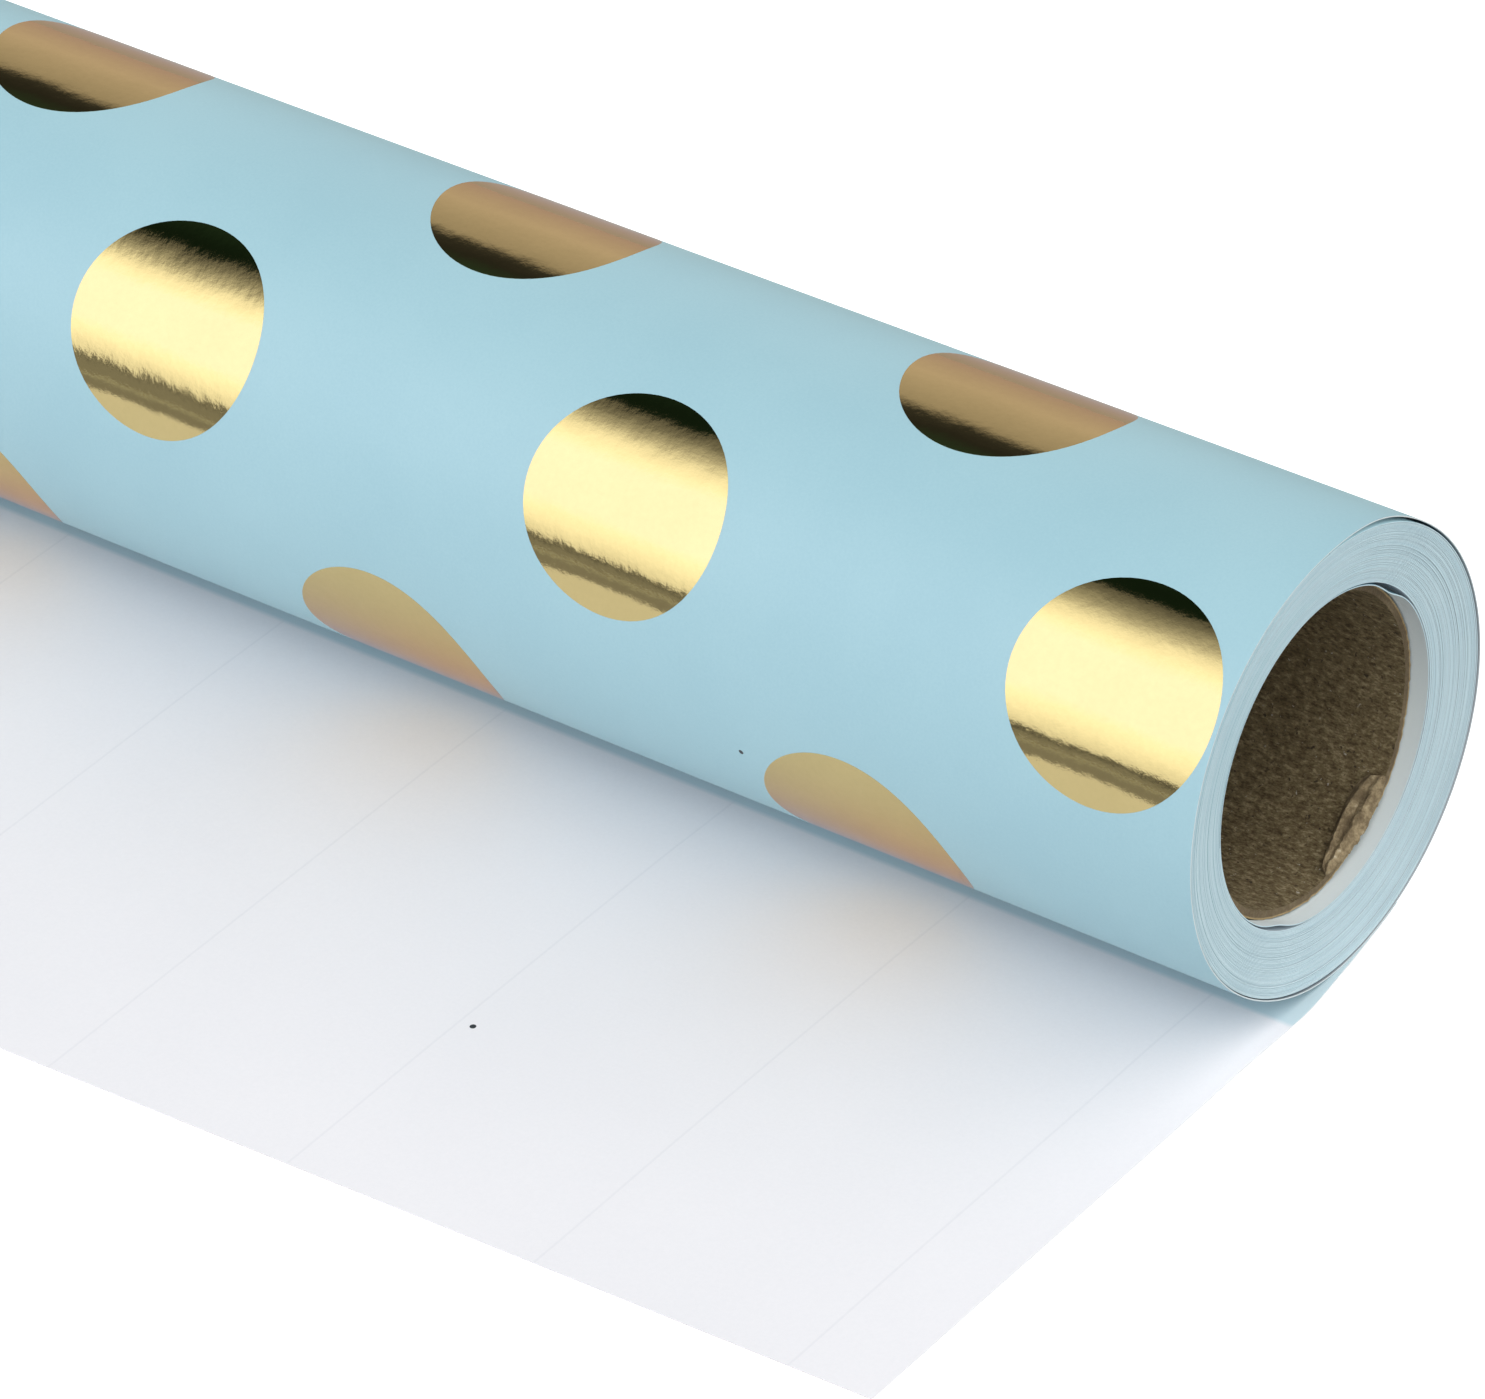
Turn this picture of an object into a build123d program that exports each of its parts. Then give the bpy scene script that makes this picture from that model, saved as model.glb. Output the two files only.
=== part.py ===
from build123d import *
import math
import os

# A roll of gift wrapping paper lying on a flat surface with its free end pulled out.
# Frame: +X along the roll's axis, +Y the way the roll travels as it pays out, +Z up.
# The origin is under the roll's axis, at mid length, on the surface that the sheet lies on.
# All sizes are in millimetres.

# ---- driving dimensions ------------------------------------------------------------------

# the printed web
web_width = 762.0            # 30 inch web
web_thickness = 0.10
free_length = 67.4           # from under the axis to the cut end, at the +X edge
cut_skew = 2.14              # degrees by which the cut runs out of square
contact_patch = 3.0          # how far the paper under the roll reaches past the axis

# the roll
roll_radius = 21.3           # outside of the loose outermost turn
loose_gap = 0.30             # slack between the tight wind and the outermost turn
lift_gap = 0.20              # the innermost turn has lifted off the wind by this much
ride_gap = 0.10              # running gap between the roll and the paper under it

# the turns have slipped along X, so the +X end is dished and the far end domed
sheet_slip = 1.08
outermost_turn_slip = 0.10
outer_wind_slip = -0.10
middle_wind_slip = -0.45
inner_wind_slip = -0.80
innermost_turn_slip = -1.03

# the core
core_bore_radius = 14.0
ply_thickness = 0.27
core_recess = 1.64           # at each end, behind the edge of the innermost turn

# the double-sided tape that starts the web on the core
tape_thickness = 0.10
tape_width = 12.0
tape_end_margin = 20.0

# the lead-off, the stretch of paper in the nip between the sheet and the roll
lead_length = 6.0
lead_gap = 0.05

# the foil dots
dot_radius = 10.15
dot_pitch = 50.8             # along the roll
row_pitch = 25.4             # along the web
first_dot_inset = 10.5       # from the web's +X edge to the centre of the first dot
first_row_at = 10.1          # along the web, from under the axis to the first row on the roll
foil_thickness = 0.02

# ---- derived places ----------------------------------------------------------------------

lead_bottom = web_thickness + lead_gap
lead_top = lead_bottom + web_thickness
axis_z = lead_top + ride_gap + roll_radius

core_radius = core_bore_radius + 3 * ply_thickness
core_length = web_width - 2 * core_recess
inner_turn_radius = core_radius + tape_thickness + web_thickness
inner_wind_start = inner_turn_radius + lift_gap
outer_turn_inside = roll_radius - web_thickness
wind_radius = outer_turn_inside - loose_gap
stretch_depth = (wind_radius - inner_wind_start) / 3
middle_wind_start = inner_wind_start + stretch_depth
outer_wind_start = middle_wind_start + stretch_depth

nodes = {}


def along_axis(outline, length, slip):
    """An outline drawn about the roll's axis, run along it and slipped along X."""
    return extrude(Plane.YZ.offset(slip - length / 2) * Pos(0, axis_z) * outline, amount=length)


def tube(outer_radius, inner_radius, length, slip):
    """A tube on the roll's axis."""
    return along_axis(Circle(outer_radius) - Circle(inner_radius), length, slip)


def build_core():
    """Three plies of board wound into one tube."""
    for index, name in enumerate(("core_inner_ply", "core_middle_ply", "core_outer_ply")):
        inside = core_bore_radius + index * ply_thickness
        nodes[name] = tube(inside + ply_thickness, inside, core_length, innermost_turn_slip)


def build_start_tape():
    """A strip along the top of the core, which the innermost turn is stuck to."""
    band = Circle(core_radius + tape_thickness) - Circle(core_radius)
    strip = Pos(0, core_radius) * Rectangle(tape_width, core_radius)
    length = core_length - 2 * tape_end_margin
    nodes["start_tape"] = along_axis(band & strip, length, innermost_turn_slip)


def build_wind():
    """The wound web: innermost turn, three stretches of tight wind, loose outermost turn."""
    inner_turn_inside = inner_turn_radius - web_thickness
    nodes["innermost_turn"] = tube(
        inner_turn_radius, inner_turn_inside, web_width, innermost_turn_slip)
    nodes["inner_wind"] = tube(middle_wind_start, inner_wind_start, web_width, inner_wind_slip)
    nodes["middle_wind"] = tube(outer_wind_start, middle_wind_start, web_width, middle_wind_slip)
    nodes["outer_wind"] = tube(wind_radius, outer_wind_start, web_width, outer_wind_slip)
    nodes["outermost_turn"] = tube(
        roll_radius, outer_turn_inside, web_width, outermost_turn_slip)


def sheet_outline():
    """The free sheet seen from above, with its cut end a little out of square."""
    web_edge = web_width / 2 + sheet_slip
    far_edge = web_edge - web_width
    far_length = free_length + web_width * math.tan(math.radians(cut_skew))
    return Polyline(
        (web_edge, contact_patch),
        (far_edge, contact_patch),
        (far_edge, -far_length),
        (web_edge, -free_length),
        close=True)


def row_places(staggered, slip):
    """Centres along X of the dots of one row that lie on the web."""
    first = web_width / 2 + slip - first_dot_inset - (dot_pitch / 2 if staggered else 0.0)
    count = math.floor((first + dot_radius + web_width / 2 - slip) / dot_pitch) + 1
    return [first - index * dot_pitch for index in range(count)]


def build_roll_dots():
    """Rows of foil dots round the outermost turn, each a thin patch that wraps with the paper."""
    turn_length = 2 * math.pi * roll_radius
    row_count = math.floor((turn_length - first_row_at) / row_pitch) + 1
    foil = tube(roll_radius + foil_thickness, roll_radius, web_width, outermost_turn_slip)
    half_chord = roll_radius * math.sin(dot_radius / roll_radius)
    for row in range(row_count):
        angle = (first_row_at + row * row_pitch) / roll_radius
        outward = (0, math.sin(angle), -math.cos(angle))
        dots = []
        for place in row_places(row % 2 == 0, outermost_turn_slip):
            face = Plane(origin=(place, 0, axis_z), x_dir=(1, 0, 0), z_dir=outward)
            cutter = extrude(face * Ellipse(dot_radius, half_chord), amount=2 * roll_radius)
            dots += (foil & cutter).solids()
        nodes[f"foil_row_roll_{row + 1}"] = Compound(children=dots)


def build_sheet():
    """The free sheet, with the foil dots pressed flush into its printed underside."""
    outline = make_face(sheet_outline())
    sheet = extrude(outline, amount=web_thickness)
    film = extrude(outline, amount=foil_thickness)
    far_length = -sheet.bounding_box().min.Y
    row = 1
    while row * row_pitch - first_row_at - dot_radius < far_length:
        y = first_row_at - row * row_pitch
        dots = []
        for place in row_places(row % 2 == 0, sheet_slip):
            disc = Pos(place, y, foil_thickness / 2) * Cylinder(dot_radius, foil_thickness)
            dots += (film & disc).solids()
        if dots:
            nodes[f"foil_row_sheet_{row}"] = Compound(children=dots)
            sheet -= Compound(children=dots)
        row += 1
    nodes["free_sheet"] = sheet


def build_lead_off():
    """The strip of paper in the nip, which travels with the roll and doesn't turn."""
    strip = Box(web_width, lead_length, web_thickness, align=(Align.CENTER, Align.MAX, Align.MIN))
    nodes["lead_off"] = Pos(sheet_slip, 0, lead_bottom) * strip


build_core()
build_start_tape()
build_wind()
build_roll_dots()
build_sheet()
build_lead_off()

os.makedirs("parts", exist_ok=True)
for name, shape in nodes.items():
    export_step(shape, f"parts/{name}.step")
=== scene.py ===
# %% [markdown]
# # A roll of gift wrap, part way through being used
#
# The object is a strip of printed paper, hundreds of times longer than it is thick, wound on a
# board tube. Its free end has been pulled out flat, white side up. The CAD frame holds the sizes,
# and this script makes what the eye sees: paper, foil and board.
#
# Everything is in metres in the frame's own axes: +X along the roll, +Y the way the roll travels
# as it pays out paper, +Z up.

# %% Load the frame
import math

import bmesh
import bpy
import numpy as np
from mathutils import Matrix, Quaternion, Vector


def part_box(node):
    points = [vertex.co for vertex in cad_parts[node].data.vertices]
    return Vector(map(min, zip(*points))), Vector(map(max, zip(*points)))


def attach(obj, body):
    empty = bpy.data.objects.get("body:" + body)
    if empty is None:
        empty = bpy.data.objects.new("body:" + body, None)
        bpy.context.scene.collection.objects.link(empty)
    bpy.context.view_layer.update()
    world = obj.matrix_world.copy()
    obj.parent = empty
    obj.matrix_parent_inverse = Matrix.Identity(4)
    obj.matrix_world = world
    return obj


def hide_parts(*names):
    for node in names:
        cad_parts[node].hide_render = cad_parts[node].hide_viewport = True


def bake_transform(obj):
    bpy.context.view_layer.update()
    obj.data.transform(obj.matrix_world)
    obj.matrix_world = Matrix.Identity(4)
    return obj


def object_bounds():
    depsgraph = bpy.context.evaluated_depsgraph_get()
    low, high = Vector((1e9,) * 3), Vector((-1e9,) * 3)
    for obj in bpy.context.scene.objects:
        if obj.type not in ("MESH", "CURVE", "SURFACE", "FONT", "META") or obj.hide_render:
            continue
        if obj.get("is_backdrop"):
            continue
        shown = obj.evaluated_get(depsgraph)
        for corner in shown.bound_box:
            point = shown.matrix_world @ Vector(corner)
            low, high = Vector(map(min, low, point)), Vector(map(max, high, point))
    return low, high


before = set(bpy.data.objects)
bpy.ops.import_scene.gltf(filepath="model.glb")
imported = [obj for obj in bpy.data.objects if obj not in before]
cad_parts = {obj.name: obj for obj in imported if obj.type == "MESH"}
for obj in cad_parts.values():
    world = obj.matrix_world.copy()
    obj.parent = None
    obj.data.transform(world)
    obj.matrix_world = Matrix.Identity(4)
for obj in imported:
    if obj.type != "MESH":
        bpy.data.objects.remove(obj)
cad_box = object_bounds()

mm = 0.001
print("nodes:", len(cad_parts))

# %% [markdown]
# ## Sizes
#
# The frame gives the roll's axis and radius and the places where each stretch of paper ends.
# Reading them here means that the looks follow the CAD model if it changes.

# %% Read the roll's sizes from the frame
def radius_of(node):
    """The outside radius of a round node, from the width of its box."""
    low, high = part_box(node)
    return (high.y - low.y) / 2


turn_low, turn_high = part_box("outermost_turn")
sheet_low, sheet_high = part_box("free_sheet")
core_low, core_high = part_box("core_inner_ply")
axis_z = (turn_low.z + turn_high.z) / 2
roll_radius = radius_of("outermost_turn")
wind_radius = radius_of("outer_wind")
inner_turn_radius = radius_of("innermost_turn")
core_radius = radius_of("core_outer_ply")
web_width = sheet_high.x - sheet_low.x
print(f"roll {2 * roll_radius / mm:.1f} mm across, web {web_width / mm:.0f} mm wide")

# %% [markdown]
# ## Camera
#
# The view is a long lens from the front and above, looking along the roll at its open end. The
# camera is given by its place, measured from the end of the roll, and by three angles.

# %% Place the camera
camera_from_end = Vector((387.2, -539.2, 498.0)) * mm
look_azimuth = math.radians(39.89)
look_down = math.radians(35.13)
camera_bank = math.radians(-4.09)

roll_end = Vector((web_width / 2, 0, 0))
camera_data = bpy.data.cameras.new("camera")
camera_data.lens = 238.5
camera_data.sensor_width = 36.0
camera_data.clip_start = 0.05
camera_data.clip_end = 50.0
camera = bpy.data.objects.new("camera", camera_data)
bpy.context.scene.collection.objects.link(camera)
bpy.context.scene.camera = camera

look = Vector((
    -math.sin(look_azimuth) * math.cos(look_down),
    math.cos(look_azimuth) * math.cos(look_down),
    -math.sin(look_down)))
bank = Quaternion((0, 0, 1), camera_bank)
camera.rotation_mode = "QUATERNION"
camera.rotation_quaternion = look.to_track_quat("-Z", "Y") @ bank
camera.location = roll_end + camera_from_end
print("camera at", [round(value, 3) for value in camera.location])

# %% [markdown]
# ## Floor and light
#
# Foil is a mirror, so it shows the studio and little else. One long softbox hangs in front of the
# roll and above it, the ceiling is dark, and the wall behind is a dull grey. All of them are long
# in X, so their reflections are bands along the roll.
#
# A sky that changes with the angle about X is the simplest such studio: nothing stands in the way
# of a camera at another angle. The half of the sky beyond the open end is an even fill, which
# lights the end face and the bore.
#
# The floor is a white table, lit from below as product tables are so that it shows clear white.
# The foil sees less of that: the front edge of the table is in the shade, which makes a thin dark
# line, and behind the roll the table is a mid grey. Past the open end it throws back less light, so
# that end is lit from above and not from below.

# %% Helpers for shader nodes
def plug(tree, socket, value):
    """Feeds a socket from another socket, or sets its own value."""
    if isinstance(value, bpy.types.NodeSocket):
        tree.links.new(value, socket)
    else:
        socket.default_value = value


def add_node(tree, kind, inputs=None, **settings):
    """A new node in a tree, with its settings and its inputs, which go by name or by number."""
    node = tree.nodes.new(kind)
    for key, value in settings.items():
        setattr(node, key, value)
    for key, value in (inputs or {}).items():
        plug(tree, node.inputs[key], value)
    return node


def calculate(tree, operation, *values):
    """One step of arithmetic in a tree."""
    inputs = dict(enumerate(values))
    return add_node(tree, "ShaderNodeMath", inputs, operation=operation).outputs[0]


def remap(tree, value, low, high, to_low=0.0, to_high=1.0, **settings):
    """Carries the values from low to high over to another range, and holds its ends."""
    return add_node(tree, "ShaderNodeMapRange", {
        "Value": value, "From Min": low, "From Max": high,
        "To Min": to_low, "To Max": to_high}, **settings).outputs[0]


def split(tree, vector):
    """A vector's X, Y and Z."""
    return add_node(tree, "ShaderNodeSeparateXYZ", {0: vector}).outputs


# %% Helpers for colours
def ramp(tree, value, stops):
    """A colour ramp from (place, colour) pairs."""
    node = add_node(tree, "ShaderNodeValToRGB", {0: value})
    elements = node.color_ramp.elements
    while len(elements) < len(stops):
        elements.new(0.5)
    for element, (place, colour) in zip(elements, stops):
        element.position = place
        element.color = (*colour, 1.0)
    return node.outputs["Color"]


def mix_colours(tree, share, first, second):
    """The first colour where the share is 0, and the second where it is 1."""
    first, second = (
        (*colour, 1.0) if isinstance(colour, tuple) else colour for colour in (first, second))
    return add_node(tree, "ShaderNodeMix", {
        "Factor": share, "A": first, "B": second}, data_type="RGBA").outputs["Result"]


# %% The studio's light, by angle about the roll
# Angles are in degrees from the horizon behind the roll, over the top, to the horizon in front.
studio = [
    (0, 0.56), (26, 0.72), (38, 0.60), (46, 0.50), (50, 0.05), (56, 0.03), (66, 0.050),
    (94, 0.013), (100.6, 0.014), (101.4, 0.14), (106, 0.27), (112, 0.67), (118, 1.45), (124, 1.80),
    (130, 1.94), (156, 1.94), (161, 1.84), (166.5, 1.64), (172.5, 1.28), (174.6, 1.15),
    (175.2, 0.03), (176.2, 0.03), (176.8, 0.31), (180, 0.32)]
studio_peak = 2.0
plain_light, wall_tint = (1.0, 1.0, 1.0), (1.0, 0.90, 0.86)
felt_tint, lamp_tint = (0.60, 1.35, 0.90), (1.0, 0.965, 1.12)


def studio_tint(degrees):
    """A warm wall behind, a green felt flag over the roll, and a slightly rosy lamp."""
    if degrees < 48:
        return wall_tint
    if 60 < degrees < 101:
        return felt_tint
    return lamp_tint if 130 <= degrees <= 156 else plain_light


stops = [
    (degrees / 180, tuple(level / studio_peak * tint for tint in studio_tint(degrees)))
    for degrees, level in studio]
print("studio levels:", len(studio))

# %% The shape of the lamp
# The lamp narrows towards its far end: angles there are pushed away from its middle.
lamp_middle, lamp_full_to, lamp_narrowing = math.radians(145), 0.51, 28.0
most_push = math.radians(8)
push_from, push_to = math.radians(70), math.radians(92)

world = bpy.data.worlds.new("studio")
bpy.context.scene.world = world
world.use_nodes = True
sky = world.node_tree
sky.nodes.clear()
direction = split(sky, add_node(sky, "ShaderNodeTexCoord").outputs["Generated"])
angle = calculate(sky, "ARCTAN2", direction["Z"], direction["Y"])
past_full = calculate(sky, "SUBTRACT", -lamp_full_to, direction["X"])
past_full = calculate(sky, "MAXIMUM", past_full, 0.0)
spread = calculate(sky, "MULTIPLY", calculate(sky, "POWER", past_full, 2.0), lamp_narrowing)
push = calculate(sky, "MULTIPLY", calculate(sky, "SUBTRACT", angle, lamp_middle), spread)
push = calculate(sky, "MINIMUM", calculate(sky, "MAXIMUM", push, -most_push), most_push)
push = calculate(sky, "MULTIPLY", push, remap(sky, angle, push_from, push_to))
share = calculate(sky, "DIVIDE", calculate(sky, "ADD", angle, push), math.pi)
band = add_node(sky, "ShaderNodeBackground", {
    "Color": ramp(sky, share, stops), "Strength": studio_peak})
print(f"lamp middle at {math.degrees(lamp_middle):.0f} degrees")

# %% The fill beyond the open end
fill_level = 0.99
fill_from_above = 1.07
fill_edge = 0.12

fill_here = calculate(sky, "MULTIPLY_ADD", direction["Z"], fill_from_above, fill_level)
fill = add_node(sky, "ShaderNodeBackground", {"Color": (1, 1, 1, 1), "Strength": fill_here})
at_open_end = remap(
    sky, direction["X"], -fill_edge, fill_edge, interpolation_type="SMOOTHSTEP")
both = add_node(sky, "ShaderNodeMixShader", {
    0: at_open_end, 1: band.outputs[0], 2: fill.outputs[0]})
add_node(sky, "ShaderNodeOutputWorld", {"Surface": both.outputs[0]})
bpy.context.scene.view_settings.view_transform = "Standard"
print(f"fill {fill_level:.2f} level with the roll, {fill_level + fill_from_above:.2f} above it")

# %% The floor's material
def new_material(name, **values):
    """A material, its tree and its shader, which gets the values that are the same all over."""
    material = bpy.data.materials.new(name)
    material.use_nodes = True
    shader = material.node_tree.nodes["Principled BSDF"]
    for key, value in values.items():
        label = key.replace("_", " ").title().replace("Ior", "IOR")
        shader.inputs[label].default_value = value
    return material, material.node_tree, shader


def object_place(tree):
    """The point that is being shaded, in the object's own coordinates."""
    return add_node(tree, "ShaderNodeTexCoord").outputs["Object"]


table_front, table_back, table_far = -0.27, 0.02, -0.60
table_right = web_width / 2 + 4 * mm
table_white, shaded_front = (0.80, 0.80, 0.80), (0.27, 0.27, 0.27)
grey_behind, grey_past_end = (0.42, 0.44, 0.41), (0.42, 0.42, 0.42)

floor_white, tree, shader = new_material(
    "floor_white", roughness=0.9, specular_ior_level=0.0, emission_strength=0.6)
ray = add_node(tree, "ShaderNodeLightPath").outputs
place = split(tree, object_place(tree))
in_front = calculate(tree, "LESS_THAN", place["Y"], table_front)
behind = calculate(tree, "GREATER_THAN", place["Y"], table_back)
far_off = calculate(tree, "LESS_THAN", place["X"], table_far)
past_end = calculate(tree, "GREATER_THAN", place["X"], table_right)
colour = table_white
for region, kind, tone in (
        (in_front, "Is Glossy Ray", shaded_front),
        (calculate(tree, "MAXIMUM", behind, far_off), "Is Glossy Ray", grey_behind),
        (past_end, "Is Diffuse Ray", grey_past_end)):
    colour = mix_colours(tree, calculate(tree, "MULTIPLY", region, ray[kind]), colour, tone)
plug(tree, shader.inputs["Base Color"], colour)
seen = mix_colours(tree, ray["Is Camera Ray"], (0.0, 0.0, 0.0), (1.0, 1.0, 1.0))
plug(tree, shader.inputs["Emission Color"], seen)
print(f"table in the light from y = {table_front:.2f} m to {table_back:.2f} m")

# %% The floor
floor_half = 12.0
floor_drop = 0.02 * mm

floor_mesh = bpy.data.meshes.new("floor")
corners = [(x * floor_half, y * floor_half, 0) for x, y in ((-1, -1), (1, -1), (1, 1), (-1, 1))]
floor_mesh.from_pydata(corners, [], [(0, 1, 2, 3)])
floor_mesh.materials.append(floor_white)
floor = bpy.data.objects.new("floor", floor_mesh)
floor.location.z = -floor_drop
bpy.context.scene.collection.objects.link(floor)
floor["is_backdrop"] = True
print(f"floor {2 * floor_half:.0f} m square")

# %% [markdown]
# ## Surface detail shared by the papers and the board
#
# Paper and board are mats of fibres. Both want the same two things at different sizes and
# strengths: a mottle in the colour and a fine unevenness in the surface. One node group gives
# both, and each material sets its own scale.

# %% A helper for node groups
def new_group(name, inputs, outputs):
    """A shader group with named sockets. Returns it, what it is given and what it puts out."""
    group = bpy.data.node_groups.new(name, "ShaderNodeTree")
    for label, kind in inputs.items():
        group.interface.new_socket(label, in_out="INPUT", socket_type=kind)
    for label in outputs:
        group.interface.new_socket(label, in_out="OUTPUT", socket_type="NodeSocketFloat")
    given = group.nodes.new("NodeGroupInput").outputs
    return group, given, group.nodes.new("NodeGroupOutput").inputs


def place_group(tree, group, inputs):
    """A group placed in a material, with its inputs by name."""
    node = add_node(tree, "ShaderNodeGroup", node_tree=group)
    for label, value in inputs.items():
        plug(tree, node.inputs[label], value)
    return node


# %% The fibre group
def make_fibre_group():
    """Mottle and relief of a fibrous sheet, from a point on it."""
    group, given, result = new_group("fibre_mat", {
        "Point": "NodeSocketVector", "Fibre Size": "NodeSocketFloat",
        "Cloud Size": "NodeSocketFloat"}, ["Mottle", "Relief"])

    def noise(size, detail, roughness):
        scale = calculate(group, "DIVIDE", 1.0, size)
        return add_node(group, "ShaderNodeTexNoise", {
            "Vector": given["Point"], "Scale": scale, "Detail": detail,
            "Roughness": roughness}).outputs[0]

    fine = noise(given["Fibre Size"], 4.0, 0.65)
    clouds = noise(given["Cloud Size"], 3.0, 0.5)
    mottle = calculate(group, "MULTIPLY", calculate(group, "ADD", fine, clouds), 0.5)
    plug(group, result["Mottle"], mottle)
    plug(group, result["Relief"], fine)
    return group


fibre_group = make_fibre_group()


def bump(tree, height, depth, strength):
    """A normal from a height between 0 and 1."""
    return add_node(tree, "ShaderNodeBump", {
        "Height": height, "Distance": depth, "Strength": strength}).outputs["Normal"]


def fibres(tree, fibre_size, cloud_size, stretch=(1, 1, 1)):
    """The fibre group placed in a material, on the object's own coordinates."""
    where = add_node(tree, "ShaderNodeMapping", {
        "Vector": object_place(tree), "Scale": stretch}).outputs[0]
    node = place_group(tree, fibre_group, {
        "Point": where, "Fibre Size": fibre_size, "Cloud Size": cloud_size})
    return node.outputs["Mottle"], node.outputs["Relief"]


def fibrous(name, fibre_size, cloud_size, depth, strength, stretch=(1, 1, 1), **values):
    """A material with a relief of fibres. Returns it, its tree, its shader and its mottle."""
    material, tree, shader = new_material(name, **values)
    mottle, relief = fibres(tree, fibre_size, cloud_size, stretch)
    plug(tree, shader.inputs["Normal"], bump(tree, relief, depth, strength))
    return material, tree, shader, mottle


def mottled(name, *sizes, tones, **values):
    """A fibrous material whose colour is all in its mottle."""
    material, tree, shader, mottle = fibrous(name, *sizes, **values)
    plug(tree, shader.inputs["Base Color"], ramp(tree, mottle, tones))
    return material


print("fibre group nodes:", len(fibre_group.nodes))

# %% The speck group
def make_speck_group():
    """A small round fleck of dust: 1 inside a radius of a centre, 0 outside."""
    group, given, result = new_group("speck", {
        "Point": "NodeSocketVector", "Centre": "NodeSocketVector",
        "Radius": "NodeSocketFloat"}, ["Mask"])
    away = add_node(group, "ShaderNodeVectorMath", {
        0: given["Point"], 1: given["Centre"]}, operation="DISTANCE").outputs["Value"]
    plug(group, result["Mask"], calculate(group, "LESS_THAN", away, given["Radius"]))
    return group


speck_group = make_speck_group()
dust_colour = (0.03, 0.035, 0.04)


def add_speck(tree, colour, centre, size):
    """Darkens a colour where a speck of dust lies."""
    mask = place_group(tree, speck_group, {
        "Point": object_place(tree), "Centre": centre, "Radius": size}).outputs[0]
    return mix_colours(tree, mask, colour, dust_colour)


print("speck group nodes:", len(speck_group.nodes))

# %% [markdown]
# ## The printed side
#
# A sky-blue flood of ink on smooth coated paper: semi-matt, with a soft sheen and the faintest
# cloudiness. One speck of dust lies on it.

# %% Printed paper
print_fibres = (0.25 * mm, 18 * mm, 0.02 * mm, 0.12)
dust_on_roll = (web_width / 2 - 47.0 * mm, -20.4 * mm, axis_z - 5.05 * mm)

blue_print, tree, shader, mottle = fibrous(
    "sky_blue_print", *print_fibres, roughness=0.46, specular_ior_level=0.36)
colour = ramp(tree, mottle, [(0.38, (0.312, 0.512, 0.572)), (0.62, (0.339, 0.542, 0.597))])
colour = add_speck(tree, colour, dust_on_roll, 0.24 * mm)
plug(tree, shader.inputs["Base Color"], colour)
print("dust on the roll at", [round(value / mm, 1) for value in dust_on_roll])

# %% [markdown]
# ## The white back
#
# The other side is uncoated: softer, whiter and a little rougher than the print. A helper makes
# the plain white, because every kind of white paper below starts from it.

# %% White paper
def white_paper(name):
    """The uncoated white side. Returns its material, its tree, its shader and its colour."""
    material, tree, shader, mottle = fibrous(
        name, 0.35 * mm, 30 * mm, 0.03 * mm, 0.25, roughness=0.7, specular_ior_level=0.3)
    white = ramp(tree, mottle, [(0.3, (0.760, 0.762, 0.782)), (0.7, (0.805, 0.802, 0.818))])
    plug(tree, shader.inputs["Base Color"], white)
    return material, tree, shader, white


def shaded_white(name, share, tint):
    """White paper mixed towards a painted tint that stands for shade and blue light bounced from
    the print.
    """
    material, tree, shader, white = white_paper(name)
    plug(tree, shader.inputs["Base Color"], mix_colours(tree, share, white, tint))
    return material


white_back = white_paper("white_back")[0]
print("white back:", white_back.name)

# %% [markdown]
# ## Paper inside the roll
#
# Light that finds its way between two layers of print comes out blue, and deep in a gap there is
# hardly any. A render with few bounces shows too little of that, so the faces inside the roll have
# painted light and shade of their own. The white on the inside of the first turn has painted shade
# and painted blue bounce light, and the same white on the rim of the last turn is a painted
# highlight, lighter than the cut edge. The white strips that show where one turn stands proud of
# the next have painted shade, and the two dark materials for the faces of a gap are painted shade.
# The white face of a gap is painted lighter at its very edge, where light still reaches it.

# %% Paper inside the roll
# Painted shade and painted blue bounce light on the inside of the first turn; painted highlight on
# the rim of the last.
painted_light_white = shaded_white("painted_light_white", 0.45, (0.50, 0.66, 0.66))
# Painted shade on the white strips between stepped turns.
painted_shade_between_turns = shaded_white("painted_shade_between_turns", 0.72, (0.15, 0.24, 0.29))
# Painted shade: the print on a face inside a gap is given darker blues.
shaded_gap_print = mottled("shaded_gap_print", *print_fibres, roughness=0.6, tones=[
    (0.38, (0.10, 0.27, 0.36)), (0.62, (0.13, 0.31, 0.40))])

lit_depth = 0.45 * mm
dim_at_edge, dim_inside = 0.50, 0.95
# Painted shade deep in a gap.
painted_gap_shade = (0.018, 0.055, 0.085)

# Painted shade: the white inside a slack turn darkens with depth into the gap, and is lighter near
# the end.
shaded_gap_side, tree, shader, white = white_paper("shaded_gap_side")
from_middle = calculate(tree, "ABSOLUTE", split(tree, object_place(tree))["X"])
depth_in = calculate(tree, "SUBTRACT", web_width / 2, from_middle)
dimmed = remap(tree, depth_in, 0.0, lit_depth, dim_at_edge, dim_inside)
plug(tree, shader.inputs["Base Color"], mix_colours(tree, dimmed, white, painted_gap_shade))
print(f"a gap is dark from {lit_depth / mm:.2f} mm in")

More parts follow.
